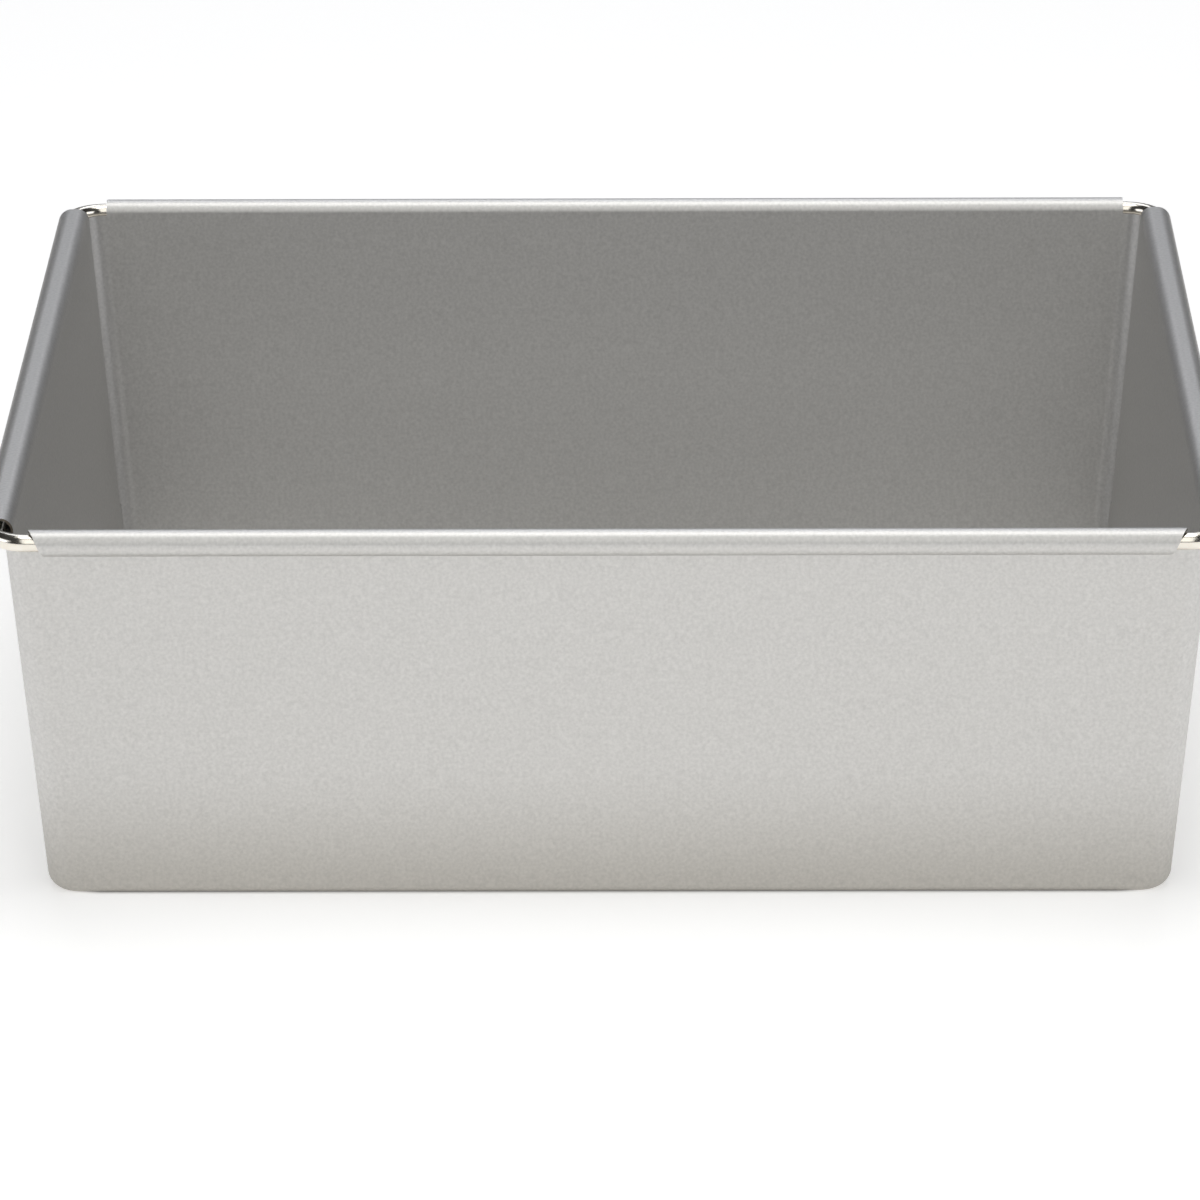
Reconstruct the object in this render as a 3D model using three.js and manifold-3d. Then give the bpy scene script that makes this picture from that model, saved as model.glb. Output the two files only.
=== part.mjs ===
// A square cake pan folded from one blank of coated sheet steel, with its rim rolled over a bent steel rod.
// Millimetres, +Z up, origin at the middle of the underside. The plain walls face -Y and +Y. At each corner
// a plain wall turns the corner and doubles back as a flat two-layer ear, which lies against the outside of
// the wall that faces -X or +X and ends in that wall's upright hem.
import * as THREE from "three";
import { mergeVertices } from "three/addons/utils/BufferGeometryUtils.js";
import Module from "manifold-3d";

// Stock
const SHEET = 0.4; // thickness of the blank
const ROD = 3.0; // diameter of the rim's rod

// The folded pan
const TOP_INSIDE = 203.2; // between facing walls, at the height of the rim's crown
const HEIGHT = 68.8; // underside to the rim's crown
const WALL_LEAN = 5; // degrees that each wall leans outwards
const BASE_BEND = 1.5; // inside radius of the fold between base and wall
const CORNER_BEND = 4.25; // inside radius where a plain wall turns the corner
const LAP_GAP = 0.2; // between the layers of an ear, and between its hem and the corner bend
const EAR_RUN = 3.0; // straight length of an ear at its foot, below which its layers are crushed into one
const EAR_TIP = 0.5; // straight length left at the bottom of the crushed layers, beside the base corner
const FOOT_FADE = 1.2; // length past the crushed layers in which they fade into the wall

// The rolled rim
const ROD_PLAY = 0.4; // between the rod and the sheet round it
const ROLL_SWEEP = 312; // degrees that the flange turns round the rod
const NOTCH_DROP = 0.2; // how far the corner notch lies below the rod's axis
const END_CUT = 25; // degrees that a flange's end is cut back, from the crown to the free edge
const BUTT_GAP = 0.3; // between the rod's two ends, which meet inside the back roll

// Facets
const NEAR_STEPS = 6; // round a corner bend, from the plain wall to the flat of the wall with the ear
const FAR_STEPS = 4; // round the rest of that bend
const FOLD_STEPS = 6; // round a flat fold or a base fold
const RISE_STEPS = 2; // round the rest of the wider fold at a corner
const ROLL_STEPS = 26; // round the rod
const ROD_SIDES = 16;
const ROD_STEPS = 8; // round a corner of the rod

const lean = THREE.MathUtils.degToRad(WALL_LEAN);
const level = SHEET / Math.cos(lean); // thickness of a leaning wall, measured level
const pitch = level + LAP_GAP; // from one layer of an ear to the next
const earStack = 2 * pitch; // how far the corner stands out from the wall that carries the ear
const earFold = level + LAP_GAP / 2; // outside radius of the fold at an ear's tip
const rodReach = ROD / 2 + ROD_PLAY; // inside radius of the roll
const rollRadius = rodReach + SHEET / 2; // of the roll's centreline
const rodHeight = HEIGHT - rodReach - SHEET;
const notchHeight = rodHeight - NOTCH_DROP;

// The blank's spare angle at a base corner is a right angle less both walls' lean. Folded in half and laid
// on the wall, its crease leaves the corner edge by half of that, so the ear widens evenly with height.
const creaseAngle = Math.PI / 4 - lean;
const earSpread = Math.tan(creaseAngle - lean) + Math.tan(lean);
const earFoot = (CORNER_BEND + earFold + EAR_RUN) / earSpread;

// Where the inside of the corner bend crosses the flat of the wall with the ear, in degrees.
const meetTurn = (radius, standOut) => THREE.MathUtils.radToDeg(Math.acos(1 - standOut / radius));
const fullMeet = meetTurn(CORNER_BEND, earStack);

const insideHalf = (z) => TOP_INSIDE / 2 - (HEIGHT - z) * Math.tan(lean);

// Round a corner the base fold is wider: it starts on the same line as the walls' own fold, and ends on the
// outside of the ear's layers.
const wallFold = BASE_BEND + SHEET; // outside radius
const cornerFold = wallFold + (earStack * Math.cos(lean)) / (1 - Math.sin(lean)); // outside radius

// A leaning wall runs into its roll where the two are in line, a little above the rod's axis.
const rollStart = rodHeight + rollRadius * Math.sin(lean);
const rodHalf = insideHalf(rollStart) + level / 2 + rollRadius * Math.cos(lean); // pan's middle to the axis

// Points along an arc of the sheet's centreline, each with the normal on the left of the way it runs. Plans
// run clockwise as seen from above, so there the outer face is on the left.
function arc(x, y, radius, fromDegrees, toDegrees, steps) {
  const facing = toDegrees < fromDegrees ? 1 : -1;
  const points = [];
  for (let i = 0; i <= steps; i++) {
    const angle = THREE.MathUtils.degToRad(fromDegrees + ((toDegrees - fromDegrees) * i) / steps);
    const radial = new THREE.Vector2(Math.cos(angle), Math.sin(angle));
    points.push({
      at: radial.clone().multiplyScalar(radius).add(new THREE.Vector2(x, y)),
      normal: radial.multiplyScalar(facing),
    });
  }
  return points;
}

function cornerArc(x, y, radius) {
  const near = arc(x, y, radius, 90, fullMeet, NEAR_STEPS);
  const far = arc(x, y, radius, fullMeet, 0, FAR_STEPS);
  return [...near, ...far.slice(1)];
}

// A quarter of the pan's plan is a list of pairs, a point on the sheet's inner face and one on its outer.
function sheetPairs(centreline, thickness) {
  return centreline.map(({ at, normal }) => ({
    inner: at.clone().addScaledVector(normal, -thickness / 2),
    outer: at.clone().addScaledVector(normal, thickness / 2),
  }));
}

// The quarter at a folded corner: round the bend, out along the ear's outer layer, round its tip, back along
// the inner layer and round the hem into the wall.
function earedQuarter(z) {
  const inside = insideHalf(z);
  const bendY = inside - CORNER_BEND;
  const bendX = bendY + earStack;
  const wallX = inside + level / 2;
  const tipY = inside - earSpread * z + earFold;
  const centreline = [
    ...cornerArc(bendX, bendY, CORNER_BEND + level / 2),
    ...arc(wallX + 1.5 * pitch, tipY, pitch / 2, 0, -180, FOLD_STEPS),
    ...arc(wallX + 0.5 * pitch, bendY, pitch / 2, 0, 180, FOLD_STEPS),
  ];
  return sheetPairs(centreline, level);
}

// The quarter below an ear's foot, where its layers are crushed into one: the outer face steps out round the
// corner, and the inner face turns the corner as far as the flat of the wall.
function footQuarter(innerHalf, outerHalf, bendY, standOut, run) {
  const bendX = bendY + standOut;
  const innerRadius = innerHalf - bendY;
  const meet = meetTurn(innerRadius, standOut);
  const inner = arc(bendX, bendY, innerRadius, 90, meet, NEAR_STEPS).map(({ at }) => at);
  const outer = cornerArc(bendX, bendY, outerHalf - bendY).map(({ at }) => at);
  const fadeY = bendY - run;
  for (let i = 0; i <= FOLD_STEPS; i++) {
    const along = i / FOLD_STEPS;
    const stepOut = (standOut * (1 + Math.cos(Math.PI * along))) / 2;
    outer.push(new THREE.Vector2(outerHalf + stepOut, fadeY - FOOT_FADE * along));
  }
  const wallSteps = FAR_STEPS + FOLD_STEPS + 1;
  const meetY = inner[NEAR_STEPS].y;
  for (let i = 1; i <= wallSteps; i++) {
    inner.push(new THREE.Vector2(innerHalf, THREE.MathUtils.lerp(meetY, fadeY - FOOT_FADE, i / wallSteps)));
  }
  return inner.map((point, i) => ({ inner: point, outer: outer[i] }));
}

// A row of the sheet all round the pan: a quarter mirrored to the four corners, with each face at its height.
function ringRow(quarter, innerZ, outerZ = innerZ) {
  const placed = (pairs, signX, signY) =>
    pairs.map(({ inner, outer }) => ({
      inner: new THREE.Vector3(inner.x * signX, inner.y * signY, innerZ),
      outer: new THREE.Vector3(outer.x * signX, outer.y * signY, outerZ),
    }));
  const reversed = [...quarter].reverse();
  return [
    ...placed(quarter, 1, 1),
    ...placed(reversed, 1, -1),
    ...placed(quarter, -1, -1),
    ...placed(reversed, -1, 1),
  ];
}

// A closed solid from rows of points on the two faces of a sheet. A ring's rows close on themselves, and a
// floor closes its first row with a flat plate; a strip has two free side edges instead.
function sheetSolid(rows, { ring = false, floor = false } = {}) {
  const count = rows[0].length;
  const positions = [];
  const triangles = [];
  const addPoint = (p) => positions.push(p.x, p.y, p.z) / 3 - 1;
  const quad = (a, b, c, d) => triangles.push(a, b, c, a, c, d);
  const outer = rows.map((row) => row.map((point) => addPoint(point.outer)));
  const inner = rows.map((row) => row.map((point) => addPoint(point.inner)));
  const last = rows.length - 1;
  const spans = ring ? count : count - 1;
  for (let j = 0; j < spans; j++) {
    const k = (j + 1) % count;
    for (let i = 0; i < last; i++) {
      quad(outer[i][j], outer[i + 1][j], outer[i + 1][k], outer[i][k]);
      quad(inner[i][j], inner[i][k], inner[i + 1][k], inner[i + 1][j]);
    }
    if (!floor) quad(outer[0][j], outer[0][k], inner[0][k], inner[0][j]);
    quad(outer[last][j], inner[last][j], inner[last][k], outer[last][k]);
  }
  if (floor) {
    const under = addPoint(new THREE.Vector3(0, 0, rows[0][0].outer.z));
    const above = addPoint(new THREE.Vector3(0, 0, rows[0][0].inner.z));
    for (let j = 0; j < count; j++) {
      const k = (j + 1) % count;
      triangles.push(under, outer[0][j], outer[0][k], above, inner[0][k], inner[0][j]);
    }
  }
  if (!ring) {
    for (let i = 0; i < last; i++) {
      quad(outer[i][0], inner[i][0], inner[i + 1][0], outer[i + 1][0]);
      const e = count - 1;
      quad(outer[i][e], outer[i + 1][e], inner[i + 1][e], inner[i][e]);
    }
  }
  const geometry = new THREE.BufferGeometry();
  geometry.setAttribute("position", new THREE.Float32BufferAttribute(positions, 3));
  geometry.setIndex(triangles);
  return geometry;
}

// Base, base fold and the foot of the walls, up to where the ears' layers part.
function trayGeometry() {
  const foldHalf = insideHalf(wallFold) - BASE_BEND / Math.cos(lean);
  const foldTop = wallFold * (1 - Math.sin(lean));
  const bendY = insideHalf(wallFold - BASE_BEND * Math.sin(lean)) - CORNER_BEND;
  const cornerTurn = (z) => Math.acos(1 - z / cornerFold);
  const standOut = (z, outerHalf) => foldHalf + cornerFold * Math.sin(cornerTurn(z)) - outerHalf;
  const rows = [];
  for (let i = 0; i <= FOLD_STEPS; i++) {
    const turn = THREE.MathUtils.degToRad(((90 - WALL_LEAN) * i) / FOLD_STEPS);
    const faceHalf = (radius) => foldHalf + radius * Math.sin(turn);
    const faceZ = (radius) => wallFold - radius * Math.cos(turn);
    const outerHalf = faceHalf(wallFold);
    const outerZ = faceZ(wallFold);
    const out = standOut(outerZ, outerHalf);
    const quarter = footQuarter(faceHalf(BASE_BEND), outerHalf, bendY, out, EAR_TIP);
    rows.push(ringRow(quarter, faceZ(BASE_BEND), outerZ));
  }
  const wallRow = (z, out) => {
    const inside = insideHalf(z);
    const run = THREE.MathUtils.mapLinear(z, foldTop, earFoot, EAR_TIP, EAR_RUN + earFold);
    return ringRow(footQuarter(inside, inside + level, inside - CORNER_BEND, out, run), z);
  };
  for (let i = 1; i <= RISE_STEPS; i++) {
    const turn = THREE.MathUtils.lerp(cornerTurn(foldTop), Math.PI / 2 - lean, i / RISE_STEPS);
    const z = cornerFold * (1 - Math.cos(turn));
    rows.push(wallRow(z, standOut(z, insideHalf(z) + level)));
  }
  rows.push(wallRow(earFoot, earStack));
  return sheetSolid(rows, { ring: true, floor: true });
}

// The four walls with their ears and hems, from the ears' feet to the level of the corner notches.
function wallGeometry() {
  const rows = [earFoot, notchHeight].map((z) => ringRow(earedQuarter(z), z));
  return sheetSolid(rows, { ring: true });
}

// The flange on top of one wall, rolled outwards over the rod. The wall faces +Y, and where it carries ears
// the flange spreads flat over their layers before it turns down. Past the crown both ends are cut back.
function flangeGeometry(halfLength, spread) {
  const wallY = insideHalf(notchHeight) + level / 2;
  const crownTurn = 90 - WALL_LEAN;
  const crownSteps = Math.round((ROLL_STEPS * crownTurn) / ROLL_SWEEP);
  const downSteps = ROLL_STEPS - crownSteps;
  const cutStep = (rollRadius * THREE.MathUtils.degToRad(ROLL_SWEEP - crownTurn)) / downSteps;
  const endCut = Math.tan(THREE.MathUtils.degToRad(END_CUT));
  const rise = arc(rodHalf, rodHeight, rollRadius, 90 + crownTurn, 90, crownSteps);
  const down = arc(rodHalf + spread, rodHeight, rollRadius, 90, 90 + crownTurn - ROLL_SWEEP, downSteps);
  const section = [
    { at: new THREE.Vector2(wallY, notchHeight), normal: new THREE.Vector2(-level / SHEET, 0) },
    ...(spread > 0 ? rise : rise.slice(0, -1)),
    ...down.map((point, i) => ({ ...point, cut: i * cutStep * endCut })),
  ];
  // The pan's inside face runs over the crown, and its outside face turns in towards the rod.
  const row = (end) =>
    section.map(({ at, normal, cut = 0 }) => {
      const x = end * (halfLength - cut);
      const face = (offset) => new THREE.Vector3(x, at.x + normal.x * offset, at.y + normal.y * offset);
      return { inner: face(SHEET / 2), outer: face(-SHEET / 2) };
    });
  return sheetSolid([row(1), row(-1)]);
}

// The rod's centreline at chosen stations: straight runs and corner arcs, from one end round to the other.
class RodPath extends THREE.Curve {
  constructor(stations) {
    super();
    this.stations = stations;
  }
  getPoint(t, target = new THREE.Vector3()) {
    const place = t * (this.stations.length - 1);
    const i = Math.min(Math.floor(place), this.stations.length - 2);
    return target.lerpVectors(this.stations[i], this.stations[i + 1], place - i);
  }
  getUtoTmapping(u) {
    return u; // a section at each station, and none between
  }
}

// One rod bent to a square, round the same corner centres as the sheet.
function rodGeometry() {
  const bendY = insideHalf(notchHeight) - CORNER_BEND;
  const bendX = bendY + earStack;
  const radius = rodHalf - bendY;
  const corner = (signX, signY, from, to) =>
    arc(signX * bendX, signY * bendY, radius, from, to, ROD_STEPS).map(({ at }) => at);
  const plan = [
    new THREE.Vector2(BUTT_GAP / 2, rodHalf),
    ...corner(1, 1, 90, 0),
    ...corner(1, -1, 0, -90),
    ...corner(-1, -1, -90, -180),
    ...corner(-1, 1, 180, 90),
    new THREE.Vector2(-BUTT_GAP / 2, rodHalf),
  ];
  const stations = plan.map(({ x, y }) => new THREE.Vector3(x, y, rodHeight));
  const section = new THREE.Shape().absarc(0, 0, ROD / 2, 0, 2 * Math.PI);
  return new THREE.ExtrudeGeometry(section, {
    steps: stations.length - 1,
    curveSegments: ROD_SIDES / 2,
    extrudePath: new RodPath(stations),
  });
}

const wasm = await Module();
wasm.setup();

// A closed geometry as a solid that can be joined to others.
function solidOf(geometry) {
  const bare = geometry.clone();
  bare.deleteAttribute("normal");
  bare.deleteAttribute("uv");
  const merged = mergeVertices(bare);
  const vertProperties = new Float32Array(merged.attributes.position.array);
  const triVerts = new Uint32Array(merged.index.array);
  return new wasm.Manifold(new wasm.Mesh({ numProp: 3, vertProperties, triVerts }));
}

function geometryOf(solid) {
  const { vertProperties, triVerts } = solid.getMesh();
  const geometry = new THREE.BufferGeometry();
  geometry.setAttribute("position", new THREE.Float32BufferAttribute(vertProperties, 3));
  geometry.setIndex(new THREE.Uint32BufferAttribute(triVerts, 1));
  return geometry;
}

// The whole blank: tray, walls and, turning clockwise from the back, a flange on each side.
function panGeometry() {
  const inside = insideHalf(notchHeight);
  let blank = solidOf(trayGeometry()).add(solidOf(wallGeometry()));
  for (let side = 0; side < 4; side++) {
    const spread = side % 2 === 0 ? 0 : earStack;
    const halfLength = inside - CORNER_BEND + (earStack - spread);
    const flange = flangeGeometry(halfLength, spread).rotateZ((-Math.PI / 2) * side);
    blank = blank.add(solidOf(flange));
  }
  return geometryOf(blank);
}

const coating = new THREE.MeshStandardMaterial({
  color: 0x9d9c99,
  roughness: 0.42,
  metalness: 0.85,
  flatShading: true,
});
const platedSteel = new THREE.MeshStandardMaterial({
  color: 0xc9c2b0,
  roughness: 0.22,
  metalness: 1.0,
  flatShading: true,
});

const cakePan = new THREE.Group();
const panBody = new THREE.Mesh(panGeometry(), coating);
panBody.name = "pan_body";
const rimWire = new THREE.Mesh(rodGeometry(), platedSteel);
rimWire.name = "rim_wire";
cakePan.add(panBody, rimWire);

export default cakePan;
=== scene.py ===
import math

import bmesh
import bpy
from mathutils import Matrix, Vector


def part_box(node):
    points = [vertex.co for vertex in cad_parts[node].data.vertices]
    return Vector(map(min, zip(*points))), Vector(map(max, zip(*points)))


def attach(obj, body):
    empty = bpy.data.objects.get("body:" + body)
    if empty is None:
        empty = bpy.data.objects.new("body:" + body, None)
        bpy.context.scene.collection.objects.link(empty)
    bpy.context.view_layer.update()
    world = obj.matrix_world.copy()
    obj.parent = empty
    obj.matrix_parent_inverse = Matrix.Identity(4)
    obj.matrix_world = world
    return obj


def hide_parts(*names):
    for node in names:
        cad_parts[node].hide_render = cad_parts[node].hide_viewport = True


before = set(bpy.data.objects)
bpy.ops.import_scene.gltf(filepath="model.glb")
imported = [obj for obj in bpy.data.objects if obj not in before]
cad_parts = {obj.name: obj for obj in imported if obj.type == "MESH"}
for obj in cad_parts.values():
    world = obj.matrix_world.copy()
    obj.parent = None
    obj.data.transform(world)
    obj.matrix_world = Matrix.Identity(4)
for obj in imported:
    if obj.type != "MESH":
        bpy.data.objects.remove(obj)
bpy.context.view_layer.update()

# Rim rod
# One round steel rod with a warm bright plating, bent to a square, its ends butted at the back.
# It is laid on the pan's rim before the sheet is rolled over it, and shows bare at the corners.
mm = 0.001
rod_low, rod_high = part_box("rim_wire")
rod = rod_high.z - rod_low.z
rod_height = (rod_high.z + rod_low.z) / 2
rod_half_x = rod_high.x - rod / 2  # middle of the pan to the rod's axis, towards the side walls
rod_half_y = rod_high.y - rod / 2
rod_bend = 6.576 * mm  # radius of the axis at a corner
rod_bend_steps = 24
rod_sides = 48
butt_gap = 0.3 * mm
crisp_angle = math.radians(32)  # a sharper turn than this shows as an edge


def speckled_metal(name, grain_scale, tones, roughness, relief):
    """Metal with a fine grain that changes its tone and gloss and raises its surface a little."""
    material = bpy.data.materials.new(name)
    material.use_nodes = True
    nodes, links = material.node_tree.nodes, material.node_tree.links
    shader = nodes["Principled BSDF"]
    shader.inputs["Metallic"].default_value = 1.0
    place = nodes.new("ShaderNodeTexCoord")
    grain = nodes.new("ShaderNodeTexNoise")
    grain.inputs["Scale"].default_value = grain_scale
    links.new(place.outputs["Object"], grain.inputs["Vector"])
    tone = nodes.new("ShaderNodeMix")
    tone.data_type = "RGBA"
    tone.inputs["A"].default_value = (*tones[0], 1)
    tone.inputs["B"].default_value = (*tones[1], 1)
    links.new(grain.outputs["Fac"], tone.inputs["Factor"])
    links.new(tone.outputs["Result"], shader.inputs["Base Color"])
    gloss = nodes.new("ShaderNodeMapRange")
    gloss.inputs["To Min"].default_value, gloss.inputs["To Max"].default_value = roughness
    links.new(grain.outputs["Fac"], gloss.inputs["Value"])
    links.new(gloss.outputs["Result"], shader.inputs["Roughness"])
    bump = nodes.new("ShaderNodeBump")
    bump.inputs["Strength"].default_value, bump.inputs["Distance"].default_value = relief
    links.new(grain.outputs["Fac"], bump.inputs["Height"])
    links.new(bump.outputs["Normal"], shader.inputs["Normal"])
    return material


def bright_plating():
    """Bright plated steel, warm in tint, with a few dull spots."""
    tones = (0.76, 0.71, 0.62), (0.94, 0.90, 0.82)
    return speckled_metal("bright_plating", 700, tones, (0.12, 0.26), (0.1, 0.02 * mm))


def bent_rod_tree(material):
    """Sweeps a round section along a path of straight runs, with its corners bent to a radius."""
    tree = bpy.data.node_groups.new("bent_rod", "GeometryNodeTree")
    face = tree.interface
    face.new_socket("Path", in_out="INPUT", socket_type="NodeSocketGeometry")
    face.new_socket("Bend Radius", in_out="INPUT", socket_type="NodeSocketFloat")
    face.new_socket("Rod Radius", in_out="INPUT", socket_type="NodeSocketFloat")
    face.new_socket("Rod", in_out="OUTPUT", socket_type="NodeSocketGeometry")
    nodes, links = tree.nodes, tree.links
    given = nodes.new("NodeGroupInput")
    run = nodes.new("GeometryNodeMeshToCurve")
    bent = nodes.new("GeometryNodeFilletCurve")
    bent.mode = "POLY"
    bent.inputs["Count"].default_value = rod_bend_steps
    section = nodes.new("GeometryNodeCurvePrimitiveCircle")
    section.inputs["Resolution"].default_value = rod_sides
    swept = nodes.new("GeometryNodeCurveToMesh")
    swept.inputs["Fill Caps"].default_value = True
    whole = nodes.new("GeometryNodeRealizeInstances")
    finish = nodes.new("GeometryNodeSetMaterial")
    finish.inputs["Material"].default_value = material
    made = nodes.new("NodeGroupOutput")
    links.new(given.outputs["Path"], run.inputs["Mesh"])
    links.new(run.outputs["Curve"], bent.inputs["Curve"])
    links.new(given.outputs["Bend Radius"], bent.inputs["Radius"])
    links.new(given.outputs["Rod Radius"], section.inputs["Radius"])
    links.new(bent.outputs["Curve"], swept.inputs["Curve"])
    links.new(section.outputs["Curve"], swept.inputs["Profile Curve"])
    links.new(swept.outputs["Mesh"], whole.inputs["Geometry"])
    links.new(whole.outputs["Geometry"], finish.inputs["Geometry"])
    links.new(finish.outputs["Geometry"], made.inputs["Rod"])
    return tree


def plain_mesh(piece, name):
    """The mesh that a piece's modifiers give, by itself, and the piece is taken away."""
    graph = bpy.context.evaluated_depsgraph_get()
    shaped = piece.evaluated_get(graph)
    data = bpy.data.meshes.new_from_object(shaped, preserve_all_data_layers=True, depsgraph=graph)
    data.name = name
    bpy.data.objects.remove(piece)
    return data


def tree_shaped(data, tree, sizes):
    """The mesh that a node tree makes of another, with its named sizes set first."""
    piece = bpy.data.objects.new(data.name + "_draft", data)
    bpy.context.scene.collection.objects.link(piece)
    shaper = piece.modifiers.new(tree.name, "NODES")
    shaper.node_group = tree
    for socket in tree.interface.items_tree:
        if socket.name in sizes:
            shaper[socket.identifier] = sizes[socket.name]
    return plain_mesh(piece, data.name + "_shaped")


def smooth_piece(data, name):
    """An object of a plain mesh whose bends are smooth, flats flat and cut edges crisp."""
    data.shade_smooth()
    data.set_sharp_from_angle(angle=crisp_angle)
    draft = bpy.data.objects.new(name + "_draft", data)
    bpy.context.scene.collection.objects.link(draft)
    weighted = draft.modifiers.new("flats_lead", "WEIGHTED_NORMAL")
    weighted.keep_sharp = True
    piece = bpy.data.objects.new(name, plain_mesh(draft, name))
    bpy.context.scene.collection.objects.link(piece)
    return piece


rod_corners = [
    (butt_gap / 2, rod_half_y, rod_height),
    (rod_half_x, rod_half_y, rod_height),
    (rod_half_x, -rod_half_y, rod_height),
    (-rod_half_x, -rod_half_y, rod_height),
    (-rod_half_x, rod_half_y, rod_height),
    (-butt_gap / 2, rod_half_y, rod_height),
]
rod_path = bpy.data.meshes.new("rod_path")
rod_path.from_pydata(rod_corners, [(i, i + 1) for i in range(len(rod_corners) - 1)], [])
rod_sizes = {"Bend Radius": rod_bend, "Rod Radius": rod / 2}
rim_rod = smooth_piece(tree_shaped(rod_path, bent_rod_tree(bright_plating()), rod_sizes), "rim_rod")
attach(rim_rod, "root")
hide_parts("rim_wire")

# Folded pan
# One blank of steel sheet with a satin silver-grey non-stick coating, folded into a base and four
# walls that lean out. At each corner the spare sheet is doubled back as a flat ear on the side wall,
# and between the notched corners the sheet is rolled over the rod.
sheet = 0.4 * mm
wall_lean = math.radians(5)
base_bend = 1.5 * mm  # inside radius of the fold between base and wall
corner_bend = 4.25 * mm  # inside radius of a corner
lap_gap = 0.2 * mm  # between the layers of an ear
ear_run = 3.0 * mm  # straight length of an ear at its foot
ear_tip = 0.5 * mm  # straight length of the crushed layers beside the base corner
foot_fade = 1.2 * mm  # length in which the crushed layers fade into the wall
notch_drop = 0.2 * mm  # how far the notch in the rim lies below the rod's axis
roll_sweep = math.radians(312)
end_cut = math.radians(25)  # slant of a roll's ends, past the crown
bend_steps = 14  # round a corner, as far as the side wall
lap_steps = 8  # round the rest of a corner
fold_steps = 12  # round a flat fold or a base fold
rise_steps = 6  # round the rest of the wider fold at a corner
roll_up_steps = 20  # from the wall to the crown of a roll
roll_down_steps = 56  # from the crown to the free edge
weld = 0.001 * mm  # points nearer than this are one

pan_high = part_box("pan_body")[1]
ear_stack = rod_half_x - rod_half_y  # how far a corner stands out from the side wall
roll_radius = pan_high.z - sheet / 2 - rod_height  # of the rolled sheet's centreline
roll_start = rod_height + roll_radius * math.sin(wall_lean)
notch_height = rod_height - notch_drop
level = sheet / math.cos(wall_lean)  # thickness of a leaning wall, measured level
pitch = level + lap_gap
ear_fold = level + lap_gap / 2  # outside radius of the fold at an ear's tip
ear_spread = math.tan(math.pi / 4 - 2 * wall_lean) + math.tan(wall_lean)
ear_foot = (corner_bend + ear_fold + ear_run) / ear_spread
wall_fold = base_bend + sheet  # outside radius of the base fold, which is wider round a corner
corner_fold = wall_fold + ear_stack * math.cos(wall_lean) / (1 - math.sin(wall_lean))


def inside_half(z):
    """Middle of the pan to the inner face of a wall at a height."""
    start_half = rod_half_y - roll_radius * math.cos(wall_lean) - level / 2
    return start_half - (roll_start - z) * math.tan(wall_lean)


def side_wall_turn(radius, stand_out):
    """Turn at which the inside of a corner crosses the flat of the side wall."""
    return math.acos(1 - stand_out / radius)


def arc(x, y, radius, start, end, steps):
    """Points round an arc, each with the normal on the left of the way that it runs."""
    facing = 1 if end < start else -1
    angles = [start + (end - start) * i / steps for i in range(steps + 1)]
    radials = [Vector((math.cos(a), math.sin(a))) for a in angles]
    return [(Vector((x, y)) + r * radius, r * facing) for r in radials]


def corner_arc(x, y, radius):
    """A corner from the plain wall round to the side wall."""
    turn = side_wall_turn(corner_bend, ear_stack)
    near = arc(x, y, radius, math.pi / 2, turn, bend_steps)
    return near + arc(x, y, radius, turn, 0, lap_steps)[1:]


def eared_corner(z, fade_end):
    """Pairs of inner and outer points round the corner, along the ear, back, and round the hem."""
    inside = inside_half(z)
    bend_y = inside - corner_bend
    wall_x = inside + level / 2
    tip_y = inside - ear_spread * z + ear_fold
    centreline = corner_arc(bend_y + ear_stack, bend_y, corner_bend + level / 2)
    centreline += arc(wall_x + 1.5 * pitch, tip_y, pitch / 2, 0, -math.pi, fold_steps)
    centreline += arc(wall_x + 0.5 * pitch, bend_y, pitch / 2, 0, math.pi, fold_steps)
    centreline.append((Vector((wall_x, inside - fade_end)), Vector((1, 0))))
    return [(at - normal * level / 2, at + normal * level / 2) for at, normal in centreline]


def crushed_corner(inner_half, outer_half, bend_y, stand_out, run):
    """Pairs of points below an ear's foot, where its layers are crushed and fade into the wall."""
    bend_x = bend_y + stand_out
    meet = side_wall_turn(inner_half - bend_y, stand_out)
    inner = [at for at, _ in arc(bend_x, bend_y, inner_half - bend_y, math.pi / 2, meet, bend_steps)]
    flat_steps = lap_steps + fold_steps + 1
    meet_y = inner[bend_steps].y
    for i in range(1, flat_steps + 1):
        inner.append(Vector((inner_half, meet_y + (bend_y - meet_y) * i / flat_steps)))
    outer = [at for at, _ in corner_arc(bend_x, bend_y, outer_half - bend_y)]
    tip_y = bend_y - run * ear_run / (ear_run + ear_fold)
    outer.append(Vector((outer_half + stand_out, tip_y)))
    for i in range(fold_steps + 1):
        step_out = stand_out * (1 + math.cos(math.pi * i / fold_steps)) / 2
        outer.append(Vector((outer_half + step_out, bend_y - run - foot_fade * i / fold_steps)))
    inner.append(Vector((inner_half, outer[-1].y)))
    return list(zip(inner, outer))


def ring(corner, inner_z, outer_z):
    """A row of the sheet all round the pan: one corner mirrored to all four."""
    row = []
    for sign_x, sign_y in ((1, 1), (1, -1), (-1, -1), (-1, 1)):
        pairs = corner if sign_x == sign_y else corner[::-1]
        for inner, outer in pairs:
            row.append((
                Vector((inner.x * sign_x, inner.y * sign_y, inner_z)),
                Vector((outer.x * sign_x, outer.y * sign_y, outer_z)),
            ))
    return row


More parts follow.
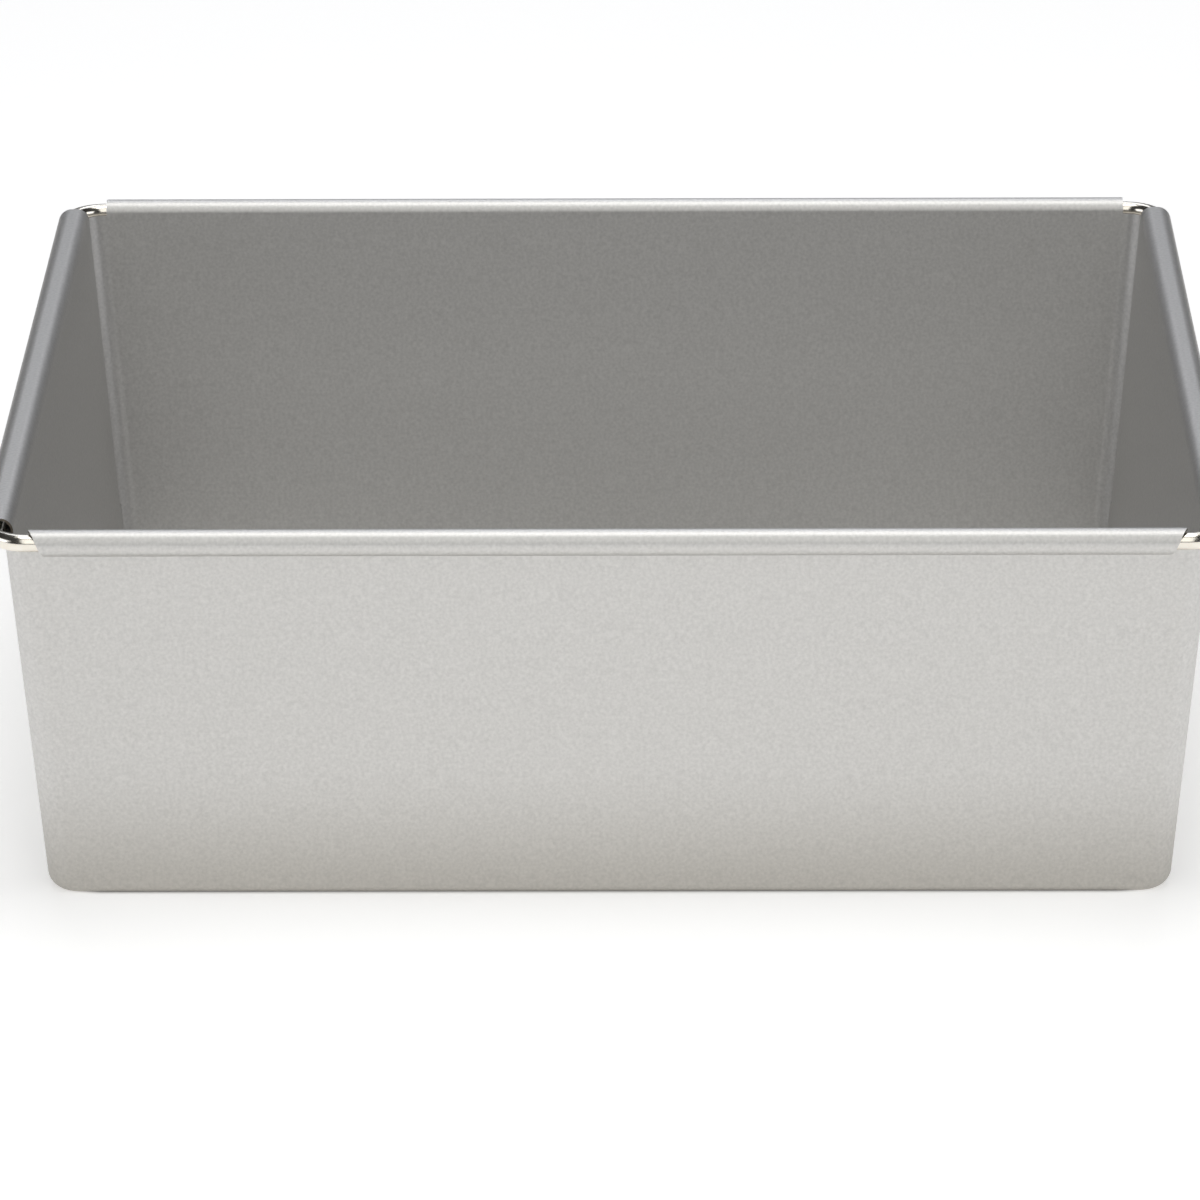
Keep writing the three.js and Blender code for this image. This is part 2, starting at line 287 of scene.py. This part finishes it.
def tray_rows():
    """The base fold and the foot of the walls, up to where the ears' layers part."""
    fold_half = inside_half(wall_fold) - base_bend / math.cos(wall_lean)
    fold_top = wall_fold * (1 - math.sin(wall_lean))
    bend_y = inside_half(wall_fold - base_bend * math.sin(wall_lean)) - corner_bend

    def corner_turn(z):
        return math.acos(1 - z / corner_fold)

    def stand_out(z, outer_half):
        return fold_half + corner_fold * math.sin(corner_turn(z)) - outer_half

    rows = []
    for i in range(fold_steps + 1):
        turn = (math.pi / 2 - wall_lean) * i / fold_steps
        halves = [fold_half + radius * math.sin(turn) for radius in (base_bend, wall_fold)]
        heights = [wall_fold - radius * math.cos(turn) for radius in (base_bend, wall_fold)]
        out = stand_out(heights[1], halves[1])
        rows.append(ring(crushed_corner(*halves, bend_y, out, ear_tip), *heights))
    first_turn, last_turn = corner_turn(fold_top), math.pi / 2 - wall_lean
    turns = [first_turn + (last_turn - first_turn) * i / rise_steps for i in range(1, rise_steps + 1)]
    for z in [corner_fold * (1 - math.cos(turn)) for turn in turns] + [ear_foot]:
        inside = inside_half(z)
        out = min(ear_stack, stand_out(z, inside + level)) if z < corner_fold else ear_stack
        run = ear_tip + (ear_run + ear_fold - ear_tip) * (z - fold_top) / (ear_foot - fold_top)
        rows.append(ring(crushed_corner(inside, inside + level, inside - corner_bend, out, run), z, z))
    return rows


def wall_rows():
    """The walls with their ears and hems, from the ears' feet to the notches in the rim."""
    fade_end = corner_bend + ear_run + ear_fold + foot_fade
    ends = ((ear_foot, fade_end), (notch_height, corner_bend))
    return [ring(eared_corner(z, end), z, z) for z, end in ends]


def add_sheet(mesh, rows):
    """Adds both faces of the sheet between rows, and returns the points of each face, row by row."""
    faces = [[[mesh.verts.new(pair[side]) for pair in row] for row in rows] for side in (0, 1)]
    count = len(rows[0])
    for points in faces:
        for low, high in zip(points, points[1:]):
            for j in range(count):
                k = (j + 1) % count
                mesh.faces.new((low[j], low[k], high[k], high[j]))
    return faces


def roll_section(spread, materials):
    """The sheet's thickness along the roll of a wall that faces +Y, with each point's end cut."""
    inside = inside_half(notch_height)
    up = arc(rod_half_y, rod_height, roll_radius, math.pi - wall_lean, math.pi / 2, roll_up_steps)
    free_edge = math.pi - wall_lean - roll_sweep
    down = arc(rod_half_y + spread, rod_height, roll_radius, math.pi / 2, free_edge, roll_down_steps)
    if spread == 0:
        up.pop()
    cut_step = roll_radius * (math.pi / 2 - free_edge) / roll_down_steps * math.tan(end_cut)
    points = [(inside, notch_height), (inside + level, notch_height)]
    cuts = [0, 0]
    for i, (at, normal) in enumerate(up + down):
        points += [at + normal * sheet / 2, at - normal * sheet / 2]
        cuts += [max(0, i - len(up)) * cut_step] * 2
    data = bpy.data.meshes.new("roll_section")
    quads = [(i, i + 1, i + 3, i + 2) for i in range(0, len(points) - 2, 2)]
    data.from_pydata([(0, y, z) for y, z in points], [], quads)
    for name, values in (("end_cut", cuts), ("outer_face", [0, 1] * (len(points) // 2))):
        data.attributes.new(name, "FLOAT", "POINT").data.foreach_set("value", values)
    for material in materials:
        data.materials.append(material)
    return data


def rolled_pair_tree(coating, cut_edge):
    """Runs a section of the sheet along a wall, cuts its ends back, and repeats it opposite."""
    tree = bpy.data.node_groups.new("rolled_pair", "GeometryNodeTree")
    face = tree.interface
    face.new_socket("Section", in_out="INPUT", socket_type="NodeSocketGeometry")
    face.new_socket("Half Length", in_out="INPUT", socket_type="NodeSocketFloat")
    face.new_socket("Turn", in_out="INPUT", socket_type="NodeSocketFloat")
    face.new_socket("Rolls", in_out="OUTPUT", socket_type="NodeSocketGeometry")
    nodes, links = tree.nodes, tree.links

    def calc(operation, *values):
        node = nodes.new("ShaderNodeMath")
        node.operation = operation
        for socket, value in zip(node.inputs, values):
            if isinstance(value, (int, float)):
                socket.default_value = value
            else:
                links.new(value, socket)
        return node.outputs["Value"]

    def along(axis, value):
        node = nodes.new("ShaderNodeCombineXYZ")
        links.new(value, node.inputs[axis])
        return node.outputs["Vector"]

    def marked(name):
        node = nodes.new("GeometryNodeInputNamedAttribute")
        node.data_type = "FLOAT"
        node.inputs["Name"].default_value = name
        return node.outputs["Attribute"]

    given = nodes.new("NodeGroupInput")
    half = given.outputs["Half Length"]
    start = nodes.new("GeometryNodeSetPosition")
    links.new(given.outputs["Section"], start.inputs["Geometry"])
    links.new(along("X", calc("MULTIPLY", half, -1)), start.inputs["Offset"])
    run = nodes.new("GeometryNodeExtrudeMesh")
    run.inputs["Individual"].default_value = False
    links.new(start.outputs["Geometry"], run.inputs["Mesh"])
    links.new(along("X", calc("MULTIPLY", half, 2)), run.inputs["Offset"])
    near_end = nodes.new("GeometryNodeFlipFaces")
    links.new(start.outputs["Geometry"], near_end.inputs["Mesh"])
    closed = nodes.new("GeometryNodeJoinGeometry")
    links.new(run.outputs["Mesh"], closed.inputs["Geometry"])
    links.new(near_end.outputs["Mesh"], closed.inputs["Geometry"])
    welded = nodes.new("GeometryNodeMergeByDistance")
    welded.inputs["Distance"].default_value = weld
    links.new(closed.outputs["Geometry"], welded.inputs["Geometry"])

    place = nodes.new("GeometryNodeInputPosition")
    split = nodes.new("ShaderNodeSeparateXYZ")
    links.new(place.outputs["Position"], split.inputs["Vector"])
    inwards = calc("MULTIPLY", calc("SIGN", split.outputs["X"]), -1)
    trimmed = nodes.new("GeometryNodeSetPosition")
    links.new(welded.outputs["Geometry"], trimmed.inputs["Geometry"])
    links.new(along("X", calc("MULTIPLY", inwards, marked("end_cut"))), trimmed.inputs["Offset"])

    # A face that joins the sheet's two sides is a cut edge; the one that looks down joins the wall.
    cut = calc("COMPARE", marked("outer_face"), 0.5, 0.2)
    normal = nodes.new("GeometryNodeInputNormal")
    facing = nodes.new("ShaderNodeSeparateXYZ")
    links.new(normal.outputs["Normal"], facing.inputs["Vector"])
    joint = calc("MULTIPLY", cut, calc("LESS_THAN", facing.outputs["Z"], -0.9))
    opened = nodes.new("GeometryNodeDeleteGeometry")
    opened.domain = "FACE"
    links.new(trimmed.outputs["Geometry"], opened.inputs["Geometry"])
    links.new(joint, opened.inputs["Selection"])

    walls = nodes.new("GeometryNodeMeshLine")
    walls.inputs["Count"].default_value = 2
    walls.inputs["Offset"].default_value = (0, 0, 0)
    index = nodes.new("GeometryNodeInputIndex")
    turn = calc("ADD", given.outputs["Turn"], calc("MULTIPLY", index.outputs["Index"], math.pi))
    pair = nodes.new("GeometryNodeInstanceOnPoints")
    links.new(walls.outputs["Mesh"], pair.inputs["Points"])
    links.new(opened.outputs["Geometry"], pair.inputs["Instance"])
    links.new(along("Z", turn), pair.inputs["Rotation"])
    whole = nodes.new("GeometryNodeRealizeInstances")
    links.new(pair.outputs["Instances"], whole.inputs["Geometry"])
    coated = nodes.new("GeometryNodeSetMaterial")
    coated.inputs["Material"].default_value = coating
    links.new(whole.outputs["Geometry"], coated.inputs["Geometry"])
    # cut edges take the edge material, which paints them dark as shade
    bared = nodes.new("GeometryNodeSetMaterial")
    bared.inputs["Material"].default_value = cut_edge
    links.new(coated.outputs["Geometry"], bared.inputs["Geometry"])
    links.new(cut, bared.inputs["Selection"])
    made = nodes.new("NodeGroupOutput")
    links.new(bared.outputs["Geometry"], made.inputs["Rolls"])
    return tree


def satin_coating():
    """Silver-grey non-stick coating with metal flake, with painted shade on the outside: a shade darker
    and warmer all over, and more so towards the foot.
    """
    tones = (0.53, 0.523, 0.511), (0.778, 0.768, 0.751)
    material = speckled_metal("satin_coating", 1700, tones, (0.43, 0.53), (0.2, 0.04 * mm))
    nodes, links = material.node_tree.nodes, material.node_tree.links
    base_colour = nodes["Principled BSDF"].inputs["Base Color"]
    tone = base_colour.links[0].from_socket
    place = nodes.new("ShaderNodeTexCoord")
    height = nodes.new("ShaderNodeSeparateXYZ")
    links.new(place.outputs["Object"], height.inputs["Vector"])
    facing = nodes.new("ShaderNodeSeparateXYZ")
    links.new(place.outputs["Normal"], facing.inputs["Vector"])
    outside = nodes.new("ShaderNodeMath")  # outer faces look a little down, because the walls lean out
    outside.operation = "LESS_THAN"
    outside.inputs[1].default_value = 0.0
    links.new(facing.outputs["Z"], outside.inputs[0])
    # Painted shade: the outer faces grow darker and warmer towards the foot, standing in for the dimmer
    # reflection low on the walls.
    foot = nodes.new("ShaderNodeMapRange")
    foot.interpolation_type = "SMOOTHSTEP"
    foot.inputs["From Min"].default_value = 26 * mm
    foot.inputs["From Max"].default_value = -4 * mm
    foot.inputs["To Min"].default_value = 0.12  # a trace of the painted shade lies all over the outside, a shade darker than the inside
    links.new(height.outputs["Z"], foot.inputs["Value"])
    painted_shade_amount = nodes.new("ShaderNodeMath")
    painted_shade_amount.operation = "MULTIPLY"
    links.new(foot.outputs["Result"], painted_shade_amount.inputs[0])
    links.new(outside.outputs["Value"], painted_shade_amount.inputs[1])
    # the painted shade's darker, warmer colour, mixed into the coating's tone
    painted_shade_tint = nodes.new("ShaderNodeMix")
    painted_shade_tint.data_type = "RGBA"
    painted_shade_tint.inputs["A"].default_value = (1, 1, 1, 1)
    painted_shade_tint.inputs["B"].default_value = (0.755, 0.735, 0.695, 1)
    links.new(painted_shade_amount.outputs["Value"], painted_shade_tint.inputs["Factor"])
    tone_with_painted_shade = nodes.new("ShaderNodeMix")
    tone_with_painted_shade.data_type = "RGBA"
    tone_with_painted_shade.blend_type = "MULTIPLY"
    tone_with_painted_shade.inputs["Factor"].default_value = 1.0
    links.new(tone, tone_with_painted_shade.inputs["A"])
    links.new(painted_shade_tint.outputs["Result"], tone_with_painted_shade.inputs["B"])
    links.new(tone_with_painted_shade.outputs["Result"], base_colour)
    return material


def painted_dark_edge():
    """Bare steel where the blank was cut, dull, and painted dark as shade for the shadowed gaps at the
    ends of the rolls.
    """
    # dark tones that paint shade on the cut edges
    tones = (0.09, 0.075, 0.06), (0.30, 0.27, 0.23)
    return speckled_metal("painted_dark_edge", 500, tones, (0.6, 0.4), (0.3, 0.03 * mm))


coating, cut_edge = satin_coating(), painted_dark_edge()
folded = bmesh.new()
tray_inner, tray_outer = add_sheet(folded, tray_rows())
wall_inner, wall_outer = add_sheet(folded, wall_rows())
folded.faces.new(tray_inner[0])
folded.faces.new(tray_outer[0])
inner, outer = wall_inner[-1], wall_outer[-1]
count = len(inner)
for j in range(count):
    k = (j + 1) % count
    if k % (count // 4) == 0:
        continue  # a wall's run between two corners goes on into its roll
    edge = folded.faces.new((inner[j], inner[k], outer[k], outer[j]))
    # the cut edge at a notch takes the edge material, with its painted shade
    edge.material_index = 1

rolled_pair = rolled_pair_tree(coating, cut_edge)
corner_start = inside_half(notch_height) - corner_bend
plain_walls = (0, corner_start + ear_stack, 0.0)
eared_walls = (ear_stack, corner_start, math.pi / 2)
for spread, half_length, turn in (plain_walls, eared_walls):
    sizes = {"Half Length": half_length, "Turn": turn}
    folded.from_mesh(tree_shaped(roll_section(spread, (coating, cut_edge)), rolled_pair, sizes))
bmesh.ops.remove_doubles(folded, verts=folded.verts, dist=weld)
open_edges = [edge for edge in folded.edges if edge.is_boundary]
bmesh.ops.holes_fill(folded, edges=open_edges, sides=0)
bmesh.ops.recalc_face_normals(folded, faces=folded.faces)
pan_data = bpy.data.meshes.new("pan_data")
folded.to_mesh(pan_data)
folded.free()
pan_data.materials.append(coating)
pan_data.materials.append(cut_edge)
pan = smooth_piece(pan_data, "folded_pan")
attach(pan, "root")
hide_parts("pan_body")

# Studio
# A sheet of white paper under the pan in a dim room. A soft box hangs over the pan and another to
# the back, with a tall white panel in front, one at each side, and low cards behind and in front.
floor_half = 12.0
base_flat = 87 * mm  # half the side of the base, as far as its round corners
dark_edge, lit_edge = 7 * mm, 9.5 * mm  # past that, the paper under the pan is dark, and then lit
paper_glow = 0.45  # brings the lit paper up to white, and leaves the pan's shadow on it
far_glow = 0.55  # added past the lamps' reach, where the paper goes on white
far_start, far_end = 1.0, 3.0
room_light = 0.03
lamp_aim = Vector((0, 0, 0.03))

paper = bmesh.new()
bmesh.ops.create_grid(paper, x_segments=1, y_segments=1, size=floor_half)
floor_data = bpy.data.meshes.new("paper_floor")
paper.to_mesh(floor_data)
paper.free()
floor = bpy.data.objects.new("paper_floor", floor_data)
bpy.context.scene.collection.objects.link(floor)
floor_look = bpy.data.materials.new("white_paper")
floor_look.use_nodes = True
nodes, links = floor_look.node_tree.nodes, floor_look.node_tree.links
floor_shader = nodes["Principled BSDF"]
floor_shader.inputs["Base Color"].default_value = (0.9, 0.9, 0.9, 1)
floor_shader.inputs["Roughness"].default_value = 0.9
floor_shader.inputs["Specular IOR Level"].default_value = 0.0
floor_shader.inputs["Emission Color"].default_value = (1, 0.995, 0.985, 1)


def paper_node(kind, operation, *values):
    """The outputs of a node of the paper's material that works on other outputs or plain values."""
    node = nodes.new(kind)
    node.operation = operation
    for socket, value in zip(node.inputs, values):
        if isinstance(value, bpy.types.NodeSocket):
            links.new(value, socket)
        else:
            socket.default_value = value
    return node.outputs


def paper_ramp(value, start, end, most, easing):
    """A value that rises from nothing to its most as another runs from start to end."""
    node = nodes.new("ShaderNodeMapRange")
    node.interpolation_type = easing
    node.inputs["From Min"].default_value = start
    node.inputs["From Max"].default_value = end
    node.inputs["To Max"].default_value = most
    links.new(value, node.inputs["Value"])
    return node.outputs["Result"]


ray = nodes.new("ShaderNodeLightPath").outputs
seen = paper_node("ShaderNodeMath", "MAXIMUM", ray["Is Camera Ray"], ray["Is Glossy Ray"])["Value"]
shown = paper_node("ShaderNodeMath", "MAXIMUM", seen, ray["Is Transmission Ray"])["Value"]
spot = nodes.new("ShaderNodeTexCoord").outputs["Object"]
apart = paper_node("ShaderNodeVectorMath", "ABSOLUTE", spot)["Vector"]
past = paper_node("ShaderNodeVectorMath", "SUBTRACT", apart, (base_flat, base_flat, 0))["Vector"]
beyond = paper_node("ShaderNodeVectorMath", "MAXIMUM", past)["Vector"]
reach = paper_node("ShaderNodeVectorMath", "LENGTH", beyond)["Value"]
near = paper_ramp(reach, dark_edge, lit_edge, paper_glow, "SMOOTHSTEP")
far = paper_ramp(reach, far_start, far_end, far_glow, "LINEAR")
whiten = paper_node("ShaderNodeMath", "MULTIPLY", shown, near)["Value"]
glow = paper_node("ShaderNodeMath", "MULTIPLY_ADD", far, shown, whiten)["Value"]
links.new(glow, floor_shader.inputs["Emission Strength"])
floor_data.materials.append(floor_look)

world = bpy.data.worlds.new("studio")
bpy.context.scene.world = world
world.use_nodes = True
room = world.node_tree.nodes["Background"]
room.inputs["Color"].default_value = (1, 1, 1, 1)
room.inputs["Strength"].default_value = room_light


def soft_light(name, place, size, brightness, tint):
    """A rectangular lamp aimed at the pan; a brightness of 1 shows as white in a mirror."""
    data = bpy.data.lights.new(name, "AREA")
    data.shape = "RECTANGLE"
    data.size, data.size_y = size
    data.energy = brightness * math.pi * size[0] * size[1]
    data.color = tint
    lamp = bpy.data.objects.new(name, data)
    lamp.location = place
    lamp.rotation_euler = (lamp_aim - Vector(place)).to_track_quat("-Z", "Y").to_euler()
    bpy.context.scene.collection.objects.link(lamp)


soft_light("top_box", (0, 0, 1.4), (0.9, 0.9), 2.9, (1, 1, 0.99))
soft_light("back_box", (0, 1.05, 1.2), (0.9, 0.85), 1.5, (0.95, 0.98, 1.05))
soft_light("back_card", (0, 1.6, 0.34), (1.4, 0.6), 0.25, (0.95, 0.98, 1.05))
soft_light("front_panel", (0, -1.28, 1.0), (1.2, 1.65), 1.22, (1, 1, 0.98))
soft_light("front_card", (0, -1.6, 0.13), (1.4, 0.2), 0.12, (1, 1, 0.98))
soft_light("left_panel", (-1.52, -0.45, 0.5), (1.1, 0.72), 1.6, (0.98, 0.99, 1.02))
soft_light("right_panel", (1.52, -0.45, 0.5), (1.1, 0.72), 1.6, (0.98, 0.99, 1.02))

camera_data = bpy.data.cameras.new("camera")
camera_data.sensor_width = 36
camera_data.lens = 245.74
camera = bpy.data.objects.new("camera", camera_data)
camera_place = (0.0107, -1.4253, 0.4974)
view_down, view_turn, view_roll = math.radians(18.462), math.radians(0.520), math.radians(-0.2688)
bpy.context.scene.collection.objects.link(camera)
camera.matrix_world = (
    Matrix.Translation(camera_place)
    @ Matrix.Rotation(view_turn, 4, "Z")
    @ Matrix.Rotation(math.pi / 2 - view_down, 4, "X")
    @ Matrix.Rotation(view_roll, 4, "Z")
)
bpy.context.scene.camera = camera
bpy.context.scene.view_settings.view_transform = "Standard"

bpy.context.view_layer.update()
